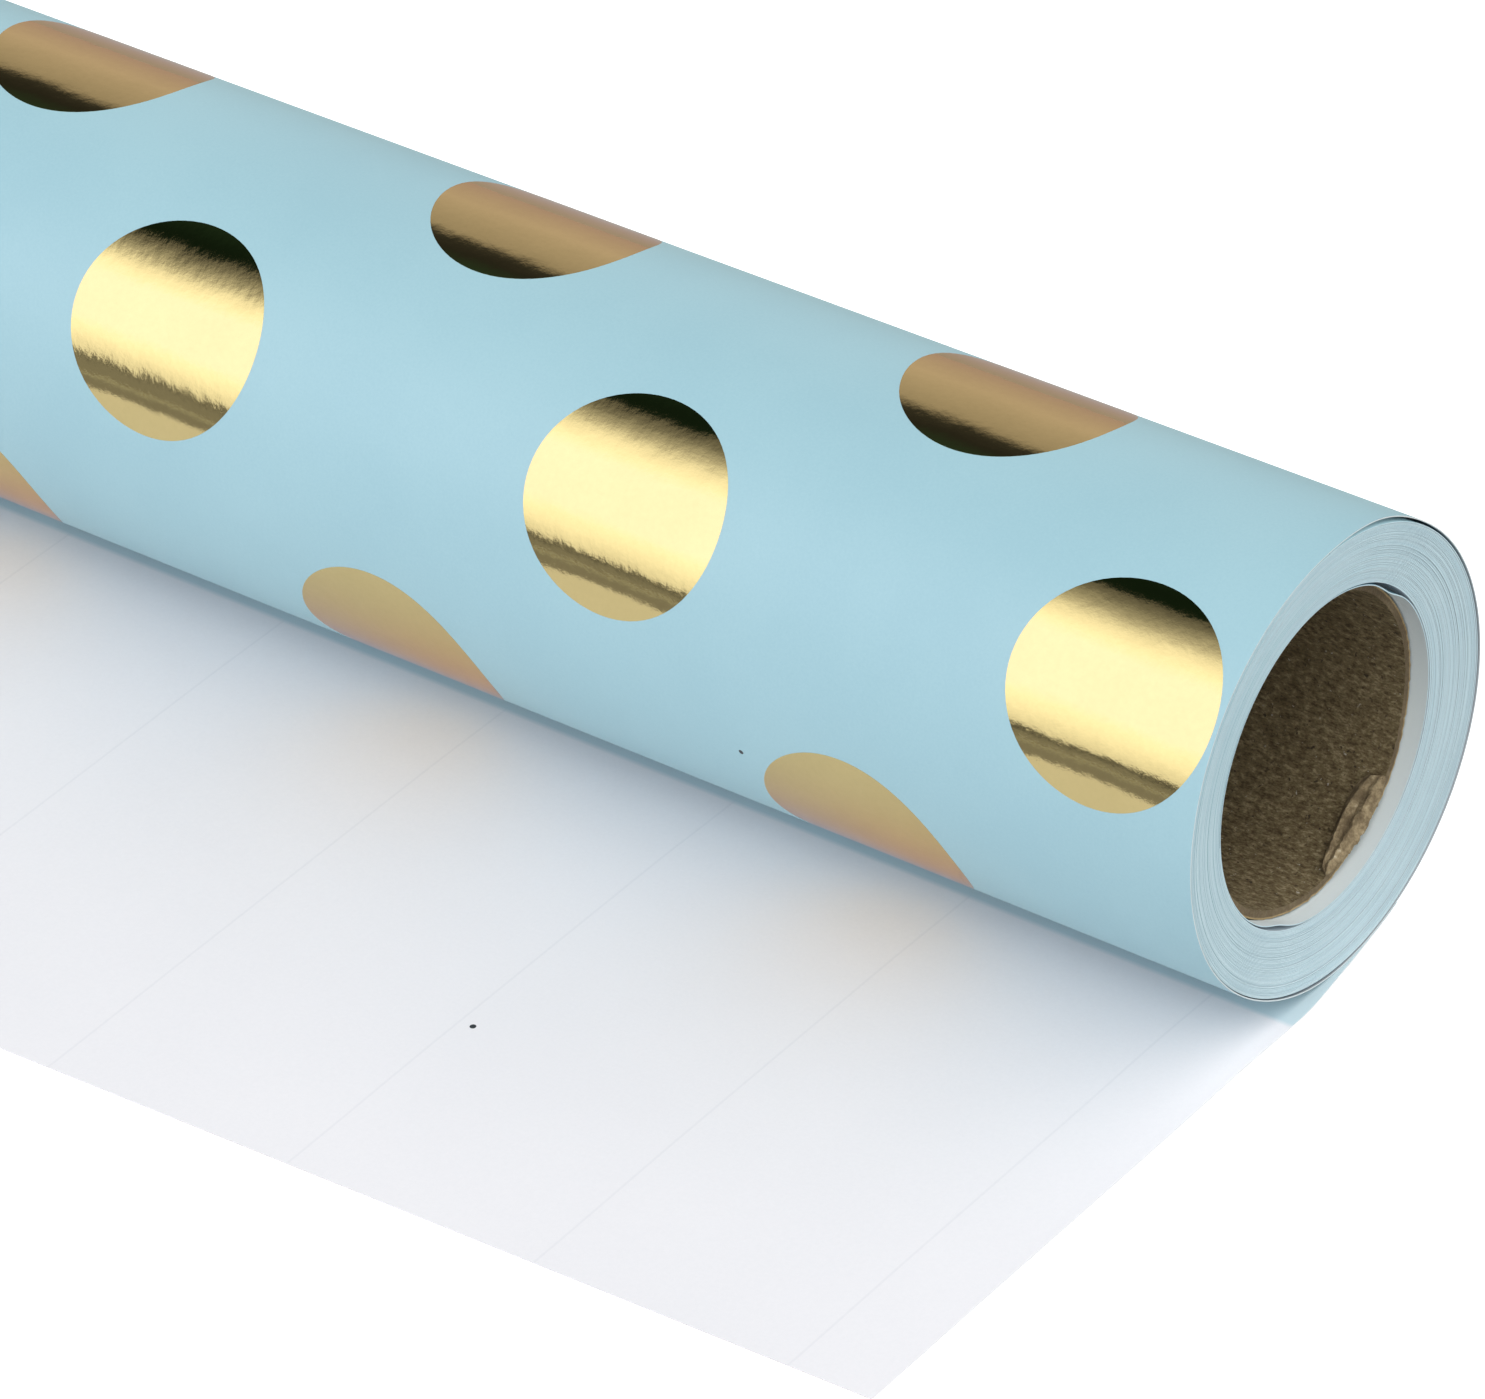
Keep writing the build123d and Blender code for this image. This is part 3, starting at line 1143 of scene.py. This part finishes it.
def build_dot_rows():
    tree, given, result = new_tree("dot_rows", {
        "Dot Radius": 10 * mm, "Dot Pitch": 50 * mm, "Row Pitch": 25 * mm, "First Row": 0,
        "Rows": 5, "Dots per Row": 15, "First Inset": 10 * mm, "First Row At": 10 * mm,
        "Edge": 381 * mm, "Foil Thickness": 0.01 * mm, "Steps Across": 41})
    grid = add_node(tree, "GeometryNodeMeshGrid", {
        "Size X": 2.0, "Size Y": 2.0, "Vertices X": 3,
        "Vertices Y": given["Steps Across"]}).outputs[0]
    cell = place_now(tree)
    slope = calculate(tree, "MULTIPLY", cell[1], math.pi / 2)
    chord = calculate(tree, "MULTIPLY", calculate(tree, "COSINE", slope), given["Dot Radius"])
    height = calculate(tree, "MULTIPLY", calculate(tree, "SINE", slope), given["Dot Radius"])
    round_place = add_node(tree, "ShaderNodeCombineXYZ", {
        "X": calculate(tree, "MULTIPLY", cell[0], chord), "Y": height}).outputs[0]
    disc = add_node(tree, "GeometryNodeSetPosition", {
        "Geometry": grid, "Position": round_place}).outputs[0]
    disc = add_node(tree, "GeometryNodeMergeByDistance", {
        "Geometry": disc, "Distance": weld_distance}).outputs[0]
    raised = add_node(tree, "GeometryNodeExtrudeMesh", {
        "Mesh": disc, "Offset": (0, 0, 1), "Offset Scale": given["Foil Thickness"],
        "Individual": False}).outputs[0]
    under = add_node(tree, "GeometryNodeFlipFaces", {0: disc}).outputs[0]
    both = add_node(tree, "GeometryNodeJoinGeometry")
    tree.links.new(under, both.inputs[0])
    tree.links.new(raised, both.inputs[0])
    dot = add_node(tree, "GeometryNodeMergeByDistance", {
        "Geometry": both.outputs[0], "Distance": weld_distance}).outputs[0]

    count = calculate(tree, "MULTIPLY", given["Rows"], given["Dots per Row"])
    number = add_node(tree, "GeometryNodeInputIndex").outputs[0]
    row = calculate(tree, "ADD", number, 0.5)
    row = calculate(tree, "FLOOR", calculate(tree, "DIVIDE", row, given["Dots per Row"]))
    before = calculate(tree, "MULTIPLY", row, given["Dots per Row"])
    column = calculate(tree, "SUBTRACT", number, before)
    row = calculate(tree, "ADD", row, given["First Row"])
    moved = calculate(tree, "FLOORED_MODULO", calculate(tree, "ADD", row, 1.0), 2.0)
    column = calculate(tree, "ADD", column, calculate(tree, "MULTIPLY", moved, 0.5))
    along_row = calculate(tree, "MULTIPLY", column, given["Dot Pitch"])
    inset = calculate(tree, "ADD", given["First Inset"], along_row)
    across_rows = calculate(tree, "MULTIPLY", row, given["Row Pitch"])
    centre = add_node(tree, "ShaderNodeCombineXYZ", {
        "X": calculate(tree, "SUBTRACT", given["Edge"], inset),
        "Y": calculate(tree, "ADD", given["First Row At"], across_rows)}).outputs[0]
    points = add_node(tree, "GeometryNodePoints", {
        "Count": count, "Position": centre}).outputs[0]
    dots = add_node(tree, "GeometryNodeInstanceOnPoints", {
        "Points": points, "Instance": dot}).outputs[0]
    dots = add_node(tree, "GeometryNodeRealizeInstances", {0: dots}).outputs[0]
    dots = add_node(tree, "GeometryNodeSetMaterial", {
        "Geometry": dots, "Material": stamped_gold}).outputs[0]
    plug(tree, result, dots)
    return tree


dot_rows = build_dot_rows()
print("dot tree nodes:", len(dot_rows.nodes))

# %% [markdown]
# ## Foil on the roll
#
# Five rows have been wound on. Distance along the web becomes angle, from the bottom and up the
# back, and height above the paper becomes radius. The dots sink in a little, so that their edges
# meet the paper.

# %% Wrap dots round the roll
def mesh_points(piece):
    points = np.empty(len(piece.data.vertices) * 3)
    piece.data.vertices.foreach_get("co", points)
    return points.reshape(-1, 3)


def set_mesh_points(piece, points):
    piece.data.vertices.foreach_set("co", np.asarray(points).ravel())
    piece.data.update()


dot_sizes = {
    "Dot Radius": dot_radius, "Dot Pitch": dot_pitch, "Row Pitch": row_pitch,
    "First Inset": first_inset, "First Row At": first_row_at}
roll_foil = bake("roll_foil", dot_rows, dot_sizes | {
    "First Row": 0, "Rows": 5, "Edge": turn_high.x, "Foil Thickness": foil_thickness})
flat = mesh_points(roll_foil)
phi = -90 - np.degrees(flat[:, 1] / roll_radius)
sunk = 0.004 * mm
set_mesh_points(roll_foil, on_roll(flat[:, 0], phi, turn_outside(phi) + flat[:, 2] - sunk))
point_outwards(roll_foil)
shade_smooth(roll_foil, corner_degrees)
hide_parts(*[f"foil_row_roll_{row}" for row in range(1, 6)])
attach(roll_foil, "roll")
print("foil on the roll, faces:", len(roll_foil.data.polygons))

# %% [markdown]
# ## The pulled sheet
#
# Paper that has been on a roll never lies quite flat. The sheet is a grid with a soft swell, a
# slight rise at its corner by the roll, and a smooth climb to the underside of the roll, where it
# ends in a tongue against the outermost turn.
#
# On the real roll the sheet crosses a joint: its free end stays still while its stretch by the roll
# goes with the nip. Here the sheet is one mesh, attached to neither body.

# %% Shape of the pulled sheet
cut_near = -67.4 * mm
cut_slope = math.tan(math.radians(2.14))
climb_start = -9 * mm
nip_clearance = 0.03 * mm
corner_height, corner_y = 0.22, -16 * mm
corner_length, corner_width = 8 * mm, 16 * mm


def free_edge(x):
    """Where the sheet was cut, a little out of square."""
    return cut_near - (sheet_high.x - x) * cut_slope


def tongue_end(x):
    """How far the sheet reaches up the back of the roll. It is longer at the near edge."""
    return (2.6 + 5.5 * np.exp(-((sheet_high.x - x) / (7 * mm)) ** 2)) * mm


def smooth_step(value, start, end):
    share = np.clip((value - start) / (end - start), 0, 1)
    return share * share * (3 - 2 * share)


def under_roll(y):
    """The height of the printed face of the outermost turn, under the roll."""
    phi = -90 - np.degrees(np.arcsin(np.clip(y / roll_radius, -1, 1)))
    return axis_z - np.sqrt(np.clip(turn_outside(phi) ** 2 - y ** 2, 0, None))


def corner_rise(x, y):
    """A low hump at the corner by the roll, in millimetres."""
    near_side = np.exp(-((sheet_high.x - x) / corner_width) ** 2)
    near_roll = np.exp(-((y - corner_y) / corner_length) ** 2)
    return corner_height * near_side * near_roll


def sheet_bottom(x, y):
    """The height of the sheet's underside."""
    edge = free_edge(x)
    inside = smooth_step(y, edge, edge + 20 * mm) * (1 - smooth_step(y, -20 * mm, -8 * mm))
    long_swell = 0.10 * np.sin(x / (37 * mm) + y / (29 * mm))
    short_swell = 0.06 * np.sin(x / (17 * mm) - y / (41 * mm))
    swells = np.maximum(0.10 + long_swell + short_swell, 0)
    lying = (swells * inside + corner_rise(x, y)) * mm
    touching = under_roll(np.maximum(y, 0)) - web_thickness - nip_clearance
    climb = smooth_step(y, climb_start, 0)
    return lying + climb * touching


print(f"nip height {sheet_bottom(np.array(0.0), np.array(0.0)) / mm:.2f} mm")

# %% Points of the pulled sheet
near_columns = np.array([0, 0.6, 1.4, 2.4, 3.8, 5.6, 8.0, 11.0, 14.5, 18.5]) * mm
far_columns = np.linspace(22 * mm, web_width, 230)
column_x = sheet_high.x - np.concatenate([near_columns, far_columns])
lying_rows = np.linspace(0, 1, 34)
nip_rows = np.linspace(0, 1, 13)[1:]
tongue_rows = np.linspace(0, 1, 9)[1:]
most_drawn_in = 0.98 * mm

sheet_grid = []
for x in column_x:
    start = free_edge(x)
    ys = np.concatenate([
        start + (climb_start - start) * lying_rows, climb_start * (1 - nip_rows),
        tongue_end(x) * tongue_rows])
    near_edge = np.exp(-(sheet_high.x - x) / (5 * mm))
    drawn_in = most_drawn_in * smooth_step(ys, -7.5 * mm, 4.5 * mm) * near_edge
    sheet_grid.append(np.stack([x - drawn_in, ys, sheet_bottom(x, ys)], axis=-1))
under = np.array(sheet_grid)
slope = np.gradient(under[:, :, 2], axis=1) / np.gradient(under[:, :, 1], axis=1)
lift = np.stack([0 * slope, -slope, np.ones_like(slope)], axis=-1)
lift /= np.linalg.norm(lift, axis=-1, keepdims=True)
thin_end = np.ones(under.shape[1])
thin_end[-3:] = [0.9, 0.6, 0.25]
upper = under + lift * (loose_thickness * thin_end)[None, :, None]
print("sheet grid:", under.shape[0], "by", under.shape[1])

# %% Build the pulled sheet
points = np.concatenate([upper.reshape(-1, 3), under.reshape(-1, 3)])
faces, kinds = two_layers(*under.shape[:2])
pulled_sheet = make_piece(
    "pulled_sheet", points, faces, [sheet_white, blue_print, white_back], kinds)
shade_smooth(pulled_sheet, soft_corner_degrees)
along = pulled_sheet.data.attributes.new("along_sheet", "FLOAT", "POINT")
along.data.foreach_set("value", [point[1] for point in points])
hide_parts("free_sheet", "lead_off")
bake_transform(pulled_sheet)

# %% [markdown]
# ## Foil under the sheet
#
# The same pattern goes on under the sheet, face down. These rows take the sheet's own height,
# and the cut through the paper goes through the foil too.

# %% Lay dots under the sheet
sheet_foil = bake("sheet_foil", dot_rows, dot_sizes | {
    "First Row": -4, "Rows": 4, "Edge": sheet_high.x, "Foil Thickness": foil_thickness})
work = bmesh.new()
work.from_mesh(sheet_foil.data)
cut_point = Vector((sheet_high.x, cut_near, 0))
cut_normal = Vector((cut_slope, -1, 0)).normalized()
bmesh.ops.bisect_plane(
    work, geom=work.verts[:] + work.edges[:] + work.faces[:], dist=1e-7,
    plane_co=cut_point, plane_no=cut_normal, clear_outer=True)
bmesh.ops.holes_fill(work, edges=[edge for edge in work.edges if edge.is_boundary], sides=0)
work.to_mesh(sheet_foil.data)
work.free()
flat = mesh_points(sheet_foil)
height = sheet_bottom(flat[:, 0], flat[:, 1]) - foil_thickness + sunk + flat[:, 2]
set_mesh_points(sheet_foil, np.stack([flat[:, 0], flat[:, 1], height], axis=-1))
point_outwards(sheet_foil)
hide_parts(*[f"foil_row_sheet_{row}" for row in range(1, 5)])
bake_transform(sheet_foil)
print("foil under the sheet, faces:", len(sheet_foil.data.polygons))

# %% [markdown]
# ## The size of the looks beside the CAD model
#
# The looks must stay the size of the CAD model, so both boxes are kept side by side.

# %% Sizes
bpy.context.view_layer.update()
visual_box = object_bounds()
boxes = {
    "cad": [list(map(float, corner)) for corner in cad_box],
    "visual": [list(map(float, corner)) for corner in visual_box]}
for label, box in boxes.items():
    print(label, [[round(value / mm, 2) for value in corner] for corner in box])
